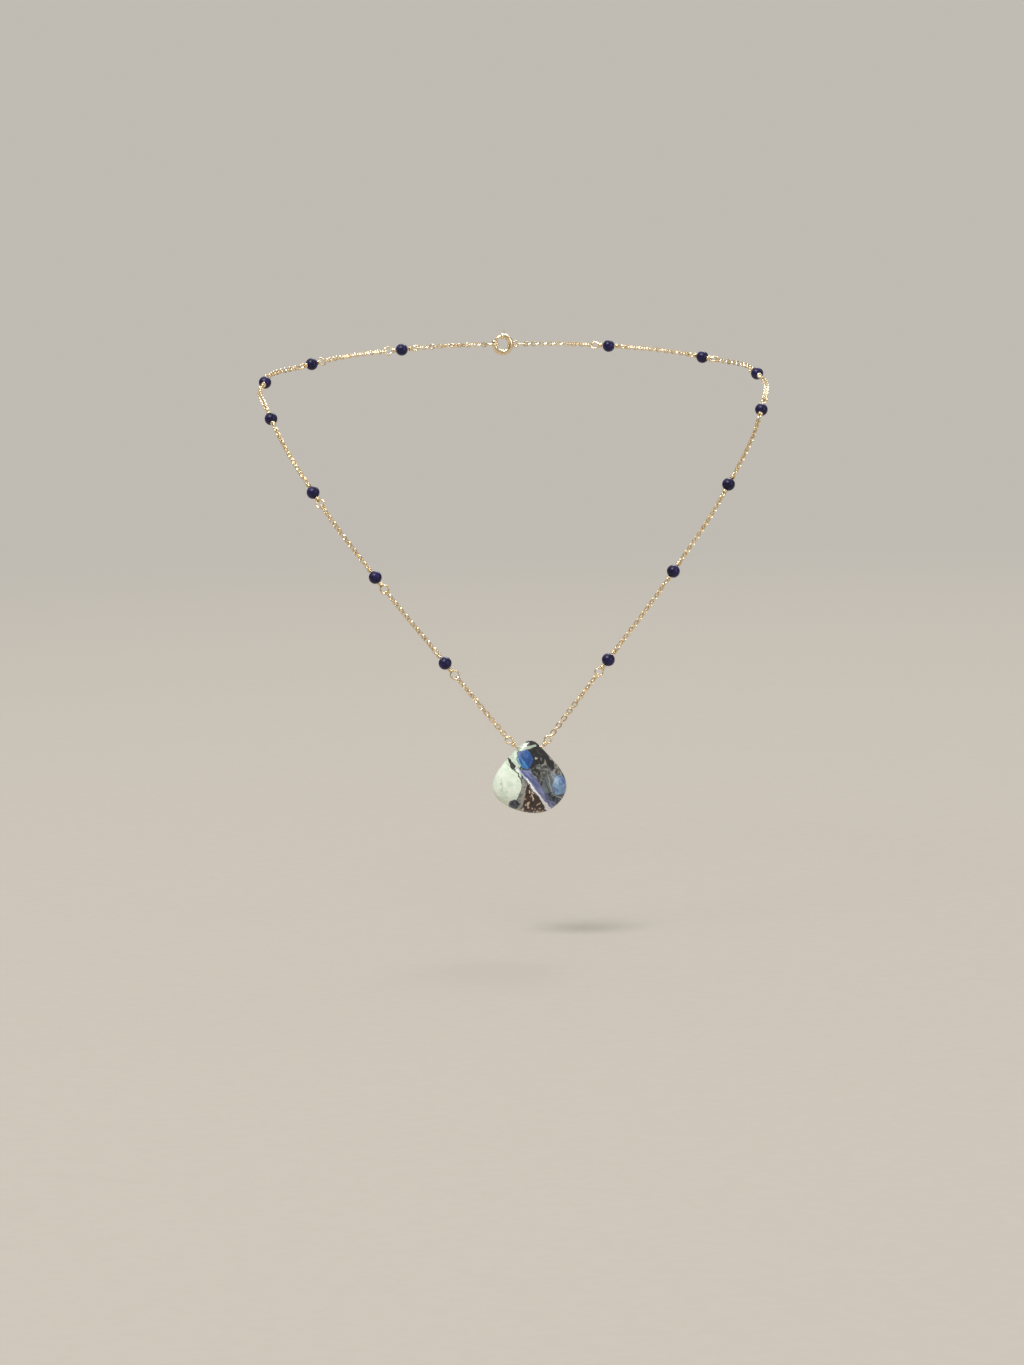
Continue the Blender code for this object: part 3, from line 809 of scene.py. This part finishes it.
def make_beads_and_pins(gold, bead_stone):
    bead, eye = model_bead(), model_pin_end()
    half_turn = Matrix.Rotation(math.pi, 4, "Y")
    for side in SIDES:
        for number in range(1, BEADS_PER_SIDE + 1):
            centre, along = joint_place(f"bead_{side}_{number}_spin")
            place = frame_at(centre, along, outward_at(centre))
            turned = place @ Matrix.Rotation(rng.uniform(0, math.tau), 4, "Z")
            piece = copy_of(bead, f"stone_bead_{side}_{number}", turned)
            finish_piece(piece, f"bead_{side}_{number}", bead_stone)
            turns = EYE_TURNS[side, number]
            lower, upper = (Matrix.Rotation(math.radians(turn), 4, "Z") for turn in turns)
            ends = [
                copy_of(eye, "upper_eye", place @ upper),
                copy_of(eye, "lower_eye", place @ lower @ half_turn),
            ]
            piece = joined(ends, f"eye_pin_{side}_{number}")
            finish_piece(piece, f"pin_{side}_{number}", gold)
    drop(bead)
    drop(eye)


# ---------------------------------------------------------------- chain


def model_link():
    """One oval link: a small ring with its two halves drawn apart along X."""
    deselect_all()
    bpy.ops.mesh.primitive_torus_add(
        major_radius=LINK_ARC, minor_radius=LINK_WIRE, major_segments=LINK_STEPS, minor_segments=6
    )
    link = bpy.context.active_object
    link.data.transform(Matrix.Rotation(math.pi / LINK_STEPS, 4, "Z"))
    stretch = LINK_PITCH / 2 - (LINK_ARC - LINK_WIRE)
    for side in (-1, 1):
        edit_selected(link, lambda co: co.x * side > 0)
        bpy.ops.transform.translate(value=(side * stretch, 0, 0))
        leave_edit()
    smooth(link)
    return link


def run_curve(start, end, start_along, end_along):
    """A smooth line between two eyes that leaves both in the direction of their pins."""
    reach = (end - start).length
    one, two = start + start_along * reach / 3, end - end_along * reach / 3

    def at(share):
        rest = 1 - share
        return start * rest**3 + one * 3 * rest**2 * share + two * 3 * rest * share**2 + end * share**3

    return at


def chain_run(name, link, curve, count, bars, outward, twist):
    """Links threaded through each other from bar to bar, each turned a quarter from the last."""
    samples = [curve(number / RUN_SAMPLES) for number in range(RUN_SAMPLES + 1)]
    lengths = [0.0]
    for one, two in zip(samples, samples[1:]):
        lengths.append(lengths[-1] + (two - one).length)

    def at(length):
        for number in range(RUN_SAMPLES):
            if lengths[number + 1] >= length or number == RUN_SAMPLES - 1:
                share = (length - lengths[number]) / (lengths[number + 1] - lengths[number])
                return samples[number].lerp(samples[number + 1], share)

    first = LINK_PITCH / 2 - bars[0]
    last = lengths[-1] - (LINK_PITCH / 2 - bars[1])
    pieces = []
    for number in range(count):
        share = number / (count - 1)
        length = first + (last - first) * share
        middle = at(length)
        along = at(length + RUN_STEP) - at(length - RUN_STEP)
        place = frame_at(middle, along, outward(share, middle))
        turn = math.radians(twist[0] + (twist[1] - twist[0]) * share + 90 * number)
        if 0 < number < count - 1:
            turn += math.radians(rng.uniform(-LINK_SWAY, LINK_SWAY))
        place = place @ Matrix.Rotation(turn, 4, "Z")
        place = place @ Matrix.Rotation(-math.pi / 2, 4, "Y") @ Matrix.Rotation(math.pi / 2, 4, "X")
        pieces.append(copy_of(link, f"{name}_link", place))
    return joined(pieces, name)


def make_chain(gold):
    link = model_link()
    eye_reach = EYE_CENTRE + EYE_RADIUS
    for side, sign in SIDES.items():
        for number in range(1, BEADS_PER_SIDE + 2):
            at_drop, at_clasp = number == 1, number > BEADS_PER_SIDE
            count, bars, twist = LINKS, [WIRE, WIRE], TWIST
            if at_drop:
                count, twist = DROP_LINKS, DROP_TWIST
                bar = pendant_eye_bar()
                start = Vector((sign * bar.x, bar.y, bar.z))
            else:
                centre, start_along = joint_place(f"bead_{side}_{number - 1}_spin")
                start = centre + start_along * eye_reach
            if at_clasp:
                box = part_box("end_ring") if side == "left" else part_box("jump_ring")
                hinge, _ = joint_place("clasp_rings_swing")
                bars[1] = (box[1][2] - box[0][2]) / 2
                end_x = box[0][0] + bars[1] if side == "left" else box[1][0] - bars[1]
                end = Vector((end_x, hinge.y, hinge.z))
                end_along = Vector((-sign, 0, 0))
                twist = CLASP_TWIST
            else:
                centre, end_along = joint_place(f"bead_{side}_{number}_spin")
                end = centre - end_along * eye_reach
            if at_drop:
                start_along = (end - start).normalized()
            curve = run_curve(start, end, start_along, end_along)

            def outward(share, middle):
                away = outward_at(middle)
                return away.lerp(Vector((0, 1, 0)), share) if at_clasp else away

            run = chain_run(f"cable_chain_{side}_{number}", link, curve, count, bars, outward, twist)
            finish_piece(run, f"chain_{side}_{number}", gold)
    drop(link)


# ---------------------------------------------------------------- pendant


# The drop's outline: its half width at each height, both as shares of the half sizes, and how far its
# foot and its tip stand to the wearer's left of the middle.
OUTLINE = (0.952, -0.4146, -0.2145, 0.116)
FOOT_LEAN = 1.15 * MM
TIP_LEAN = 0.45 * MM
HOLE_RADIUS = 0.45 * MM
# Slow waves left in the surface by hand polishing: a direction and a start for each
HAND_CUT = (((0.55, 0.3, 0.2), 0.4), ((-0.25, 0.2, 0.6), 2.0), ((0.35, -0.4, -0.45), 4.1))
HAND_CUT_DEPTH = 0.0025

# The wire through it: its eyes (angles in degrees), the way that the chain pulls them, and the tail
# round each arm. The neck's gap and the wraps' pitch and reach are in radii of the wire, and the wraps
# start at a share of the arm's length from the neck.
DROP_EYE_RADIUS = 0.78 * MM
DROP_EYE_STEPS = 24
DROP_EYE_FROM = 32
DROP_EYE_SWEEP = 296
PENDANT_PULL = math.atan2(16.6, 13.2)
MOUTH_INSIDE = 0.6 * MM
MOUTH_OUT = 0.30 * MM
MOUTH_RISE = 0.12 * MM
NECK_GAP = 0.8
PENDANT_WRAPS = 1.5
PENDANT_WRAP_STEPS = 24
PENDANT_WRAP_PITCH = 2.05
PENDANT_WRAP_REACH = 1.95
PENDANT_WRAP_START = 0.06


def outline_share(height):
    """Half width over half width of a ball at this height, from -1 at the foot to 1 at the tip."""
    return sum(factor * height**power for power, factor in enumerate(OUTLINE))


def outline_shift(height):
    return (FOOT_LEAN if height < 0 else TIP_LEAN) * height**4


def stone_middle():
    low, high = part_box("pendant_stone")
    return (Vector(low) + Vector(high)) / 2


def stone_half():
    low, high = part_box("pendant_stone")
    return (Vector(high) - Vector(low)) / 2


def hole_below_middle():
    hinge, _ = joint_place("pendant_stone_swing")
    return hinge - stone_middle()


def pendant_eye_corner():
    """Where the middle of an eye of the CAD's size would lie at the wire's top right."""
    high = Vector(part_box("pendant_wire")[1])
    hinge, _ = joint_place("pendant_stone_swing")
    return Vector((high.x - EYE_RADIUS - WIRE, hinge.y, high.z - EYE_RADIUS - WIRE))


def pendant_pull():
    return Vector((math.cos(PENDANT_PULL), 0, math.sin(PENDANT_PULL)))


def pendant_eye_bar():
    """The outermost point of the pendant wire's eye, where the chain's first link hangs."""
    return pendant_eye_corner() + pendant_pull() * EYE_RADIUS


def hole_mouth():
    """How far each mouth of the hole lies from the middle: left and right of it."""
    height = hole_below_middle().z / stone_half().z
    reach = stone_half().x * outline_share(height) * math.sqrt(1 - height * height)
    return {side: reach + sign * outline_shift(height) for side, sign in SIDES.items()}


def make_stone(material):
    """The drop: a ball drawn out to its outline, flattened, and drilled from side to side."""
    half, middle = stone_half(), stone_middle()
    deselect_all()
    bpy.ops.mesh.primitive_uv_sphere_add(segments=112, ring_count=80, radius=1.0)
    stone = bpy.context.active_object
    for vert in stone.data.vertices:
        height = vert.co.z
        share = outline_share(height)
        vert.co.x = vert.co.x * half.x * share + outline_shift(height)
        vert.co.y *= half.y * share
        vert.co.z = height * half.z
        hand_cut = sum(math.sin(vert.co.dot(Vector(way)) / MM + start) for way, start in HAND_CUT)
        vert.co *= 1 + HAND_CUT_DEPTH * hand_cut
    for axis in range(3):
        places = [vert.co[axis] for vert in stone.data.vertices]
        least, most = min(places), max(places)
        for vert in stone.data.vertices:
            vert.co[axis] = half[axis] * (2 * (vert.co[axis] - least) / (most - least) - 1)
    deselect_all()
    bpy.ops.mesh.primitive_cylinder_add(
        vertices=40,
        radius=HOLE_RADIUS,
        depth=4 * half.x,
        location=hole_below_middle(),
        rotation=(0, math.pi / 2, 0),
    )
    drill = bpy.context.active_object
    bore = stone.modifiers.new("bore", "BOOLEAN")
    bore.operation = "DIFFERENCE"
    bore.object = drill
    apply_modifiers(stone)
    drop(drill)
    stone.data.transform(Matrix.Translation(middle))
    stone.name = "polished_drop"
    smooth(stone, 45)
    finish_piece(stone, "pendant_stone", material)


def smooth_path(points, steps=6):
    """Points along a smooth curve through the given ones."""
    path = []
    last = len(points) - 1
    for number in range(last):
        before, one, two, after = (points[min(max(number + k, 0), last)] for k in (-1, 0, 1, 2))
        for step in range(steps):
            t = step / steps
            path.append(
                one
                + (two - before) * (t / 2)
                + (before * 2 - one * 5 + two * 4 - after) * (t * t / 2)
                + (one * 3 - before - two * 3 + after) * (t * t * t / 2)
            )
    return path + [points[-1]]


def pendant_wire_half(sign, mouth):
    """From inside the hole out of its mouth, up to the eye, round it, and back round the arm."""
    hinge, _ = joint_place("pendant_stone_swing")
    corner = pendant_eye_corner() - Vector((0, hinge.y, hinge.z))
    eye = corner + pendant_pull() * (EYE_RADIUS - DROP_EYE_RADIUS)
    foot = Vector((mouth + MOUTH_OUT, 0, MOUTH_RISE))
    arm = (eye - foot).normalized()
    neck = eye - arm * (DROP_EYE_RADIUS + NECK_GAP * WIRE)
    heading = math.degrees(math.atan2(-arm.z, -arm.x))
    inside, rim = Vector((mouth - MOUTH_INSIDE, 0, 0)), Vector((mouth, 0, 0))
    half = smooth_path([inside, rim, foot, foot.lerp(neck, 0.5), neck])
    for number in range(DROP_EYE_STEPS + 1):
        angle = math.radians(heading + DROP_EYE_FROM + DROP_EYE_SWEEP * number / DROP_EYE_STEPS)
        half.append(eye + Vector((math.cos(angle), 0, math.sin(angle))) * DROP_EYE_RADIUS)
    side = Vector((-arm.z, 0, arm.x))
    length = (neck - foot).length
    for number in range(PENDANT_WRAP_STEPS + 1):
        share = number / PENDANT_WRAP_STEPS
        angle = math.tau * PENDANT_WRAPS * share
        out = side * math.cos(angle) + Vector((0, 1, 0)) * math.sin(angle)
        down = PENDANT_WRAP_START + share * PENDANT_WRAPS * PENDANT_WRAP_PITCH * WIRE / length
        half.append(neck.lerp(foot, down) + out * PENDANT_WRAP_REACH * WIRE)
    return [Vector((sign * point.x, point.y, point.z)) for point in half]


def make_pendant_wire(gold):
    """The wire through the stone, bent up at both sides into an eye. Its tail is wrapped round the arm."""
    hinge, _ = joint_place("pendant_stone_swing")
    mouths = hole_mouth()
    left, right = (pendant_wire_half(sign, mouths[side]) for side, sign in SIDES.items())
    piece = wire("drop_wire", left[::-1] + right, WIRE)
    piece.data.transform(Matrix.Translation(hinge))
    smooth(piece)
    finish_piece(piece, "pendant_wire", gold)


# ---------------------------------------------------------------- clasp


RING_JOIN = 0.04 * MM
RING_STEPS = 60
# The spring's ends round the ring, in degrees from +X towards +Z, and its sizes
SPRING_FOOT = -59
SPRING_HEAD = 57
SPRING_TURNS = 7
SPRING_STEPS = 16
SPRING_COIL = 0.32 * MM
SPRING_WIRE = 0.05 * MM
CLASP_MIDLINE = 2.05 * MM


def make_bent_ring(node, gold):
    """A jump ring lying level: round wire bent to a circle, its ends meeting in a fine join."""
    low, high = (Vector(corner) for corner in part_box(node))
    middle = (low + high) / 2
    gauge = (high.z - low.z) / 2
    reach = (high.x - low.x) / 2 - gauge
    join = RING_JOIN / reach
    points = []
    for number in range(RING_STEPS + 1):
        angle = math.pi / 2 + join / 2 + (math.tau - join) * number / RING_STEPS
        points.append(middle + Vector((math.cos(angle), math.sin(angle), 0)) * reach)
    ring = wire(f"bent_{node}", points, gauge)
    smooth(ring)
    finish_piece(ring, node, gold)


def make_clasp(gold):
    """The spring ring. Its tube and bolt are the nodes' own shapes, shaded as turned and drawn metal."""
    for node in ("end_ring", "jump_ring"):
        make_bent_ring(node, gold)
    for node in ("clasp_ring", "clasp_bolt"):
        source = frame["nodes"][node]
        piece = copy_of(source, f"turned_{node}", source.matrix_world)
        tidy_shell(piece, SOLID_WELD)
        smooth(piece)
        finish_piece(piece, node, gold)
    make_return_spring(gold)


def make_return_spring(gold):
    """A fine coil in the ring's bore. One end stands on the ring, and the other is pushed by the bolt."""
    centre, _ = joint_place("clasp_bolt_slide")

    def out(angle):
        return Vector((math.cos(math.radians(angle)), 0, math.sin(math.radians(angle))))

    points = []
    steps = SPRING_TURNS * SPRING_STEPS
    for number in range(steps + 1):
        share = number / steps
        way = out(SPRING_FOOT + (SPRING_HEAD - SPRING_FOOT) * share)
        turn = math.tau * SPRING_TURNS * share
        coil = way * math.cos(turn) + Vector((0, math.sin(turn), 0))
        points.append(centre + way * CLASP_MIDLINE + coil * SPRING_COIL)
    spring = wire("return_spring", points, SPRING_WIRE, roundness=1)
    smooth(spring)
    spring.data.materials.append(gold)
    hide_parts("clasp_spring")
    ends = (centre + out(angle) * CLASP_MIDLINE for angle in (SPRING_FOOT, SPRING_HEAD))
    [tuple(end) for end in ends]
    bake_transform(spring)


# ---------------------------------------------------------------- stage


# The floor's radius, its place below the necklace, and where it fades into the backdrop's tone
FLOOR_RADIUS = 60.0
FLOOR_DROP = 0.03
FLOOR_FADE = (0.2, 1.6)
BACKDROP = (0.53, 0.50, 0.45)


def add_light(name, place, target, size, power, colour=(1, 1, 1)):
    data = bpy.data.lights.new(name, "AREA")
    data.energy = power
    data.color = colour
    data.shape = "RECTANGLE"
    data.size, data.size_y = size
    light = bpy.data.objects.new(name, data)
    bpy.context.scene.collection.objects.link(light)
    light.location = place
    light.rotation_euler = (Vector(target) - Vector(place)).to_track_quat("-Z", "Y").to_euler()


def make_floor(low):
    """A pale floor that passes into the plain backdrop tone beyond the light."""
    deselect_all()
    bpy.ops.mesh.primitive_circle_add(
        vertices=96, radius=FLOOR_RADIUS, fill_type="TRIFAN", location=(0, 0, low - FLOOR_DROP)
    )
    floor = bpy.context.active_object
    floor.name = "floor"
    apply_place(floor)
    material, nodes, shader, place = new_material("pale_floor")
    away = nodes.length(nodes.vector("MULTIPLY", place, (1.0, 1.0, 0.0)))
    far = nodes.spread(away, *FLOOR_FADE)
    shader.inputs["Roughness"].default_value = 0.9
    shader.inputs["Specular IOR Level"].default_value = 0.0
    grain = nodes.noise(place, scale=400.0, detail=2.0)
    tone = nodes.ramp(grain.outputs[0], [(0.3, (0.425, 0.398, 0.358)), (0.7, (0.435, 0.408, 0.368))])
    nodes.link(nodes.mix(far, tone, (0, 0, 0, 1)), shader.inputs["Base Color"])
    nodes.link(nodes.mix(far, (0, 0, 0, 1), (*BACKDROP, 1)), shader.inputs["Emission Color"])
    shader.inputs["Emission Strength"].default_value = 1.0
    floor.data.materials.append(material)


def make_sky():
    """A soft overhead sky, dim at eye level so that polished faces keep their depth of colour.

    Seen directly, it is the backdrop's plain tone, and the floor fades into it with no edge."""
    world = bpy.data.worlds.new("studio")
    bpy.context.scene.world = world
    world.use_nodes = True
    nodes = Nodes(world.node_tree)
    background = world.node_tree.nodes["Background"]
    height = nodes.add("ShaderNodeSeparateXYZ")
    nodes.link(nodes.add("ShaderNodeTexCoord").outputs["Generated"], height.inputs[0])
    sky = nodes.ramp(
        nodes.math("MULTIPLY_ADD", height.outputs["Z"], 0.5, 0.5),
        [
            (0.45, (0.13, 0.125, 0.12)),
            (0.56, (0.15, 0.145, 0.14)),
            (0.80, (0.55, 0.54, 0.52)),
            (1.0, (0.75, 0.735, 0.71)),
        ],
    )
    seen = nodes.add("ShaderNodeLightPath").outputs["Is Camera Ray"]
    nodes.link(nodes.mix(seen, sky, (*BACKDROP, 1)), background.inputs["Color"])
    background.inputs["Strength"].default_value = 1.0


def make_stage():
    low, high = (Vector(corner) for corner in CAD_BOX)
    middle = (low + high) / 2
    make_floor(low.z)
    make_sky()
    add_light("key", (-1.0, -1.5, 2.5), middle, (1.2, 0.9), 72.0, (1.0, 0.96, 0.90))
    add_light("fill", (2.2, -1.8, 0.6), middle, (0.9, 1.4), 14.0, (0.95, 0.97, 1.0))
    add_light("back", (0.6, 2.0, 1.8), middle, (1.6, 1.0), 32.0)


# The camera, as a viewer a little to the wearer's right and just above the drop.
CAMERA_TARGET = Vector((-3.57, -54.0, -68.3)) * MM
CAMERA_TURN = -2.45
CAMERA_RISE = 5.4
CAMERA_ROLL = -1.02
CAMERA_DISTANCE = 0.9
CAMERA_LENS = 103.9


def make_camera():
    bpy.context.scene.view_settings.view_transform = "Standard"
    turn, rise, roll = (math.radians(v) for v in (CAMERA_TURN, CAMERA_RISE, CAMERA_ROLL))
    back = Vector((math.sin(turn) * math.cos(rise), -math.cos(turn) * math.cos(rise), math.sin(rise)))
    side = Vector((0, 0, 1)).cross(back).normalized()
    up = back.cross(side)
    rolled_side = side * math.cos(roll) + up * math.sin(roll)
    rolled_up = up * math.cos(roll) - side * math.sin(roll)
    data = bpy.data.cameras.new("camera")
    data.lens = CAMERA_LENS
    data.clip_start = 0.01
    camera = bpy.data.objects.new("camera", data)
    bpy.context.scene.collection.objects.link(camera)
    turned = Matrix((rolled_side, rolled_up, back)).transposed().to_4x4()
    camera.matrix_world = Matrix.Translation(CAMERA_TARGET + back * CAMERA_DISTANCE) @ turned
    bpy.context.scene.camera = camera


# ---------------------------------------------------------------- the necklace

make_camera()
polish = polish_group()
gold = gold_material(polish)
make_beads_and_pins(gold, bead_material(polish))
make_chain(gold)
make_stone(drop_material(polish, stone_middle()))
make_pendant_wire(gold)
make_clasp(gold)
make_stage()
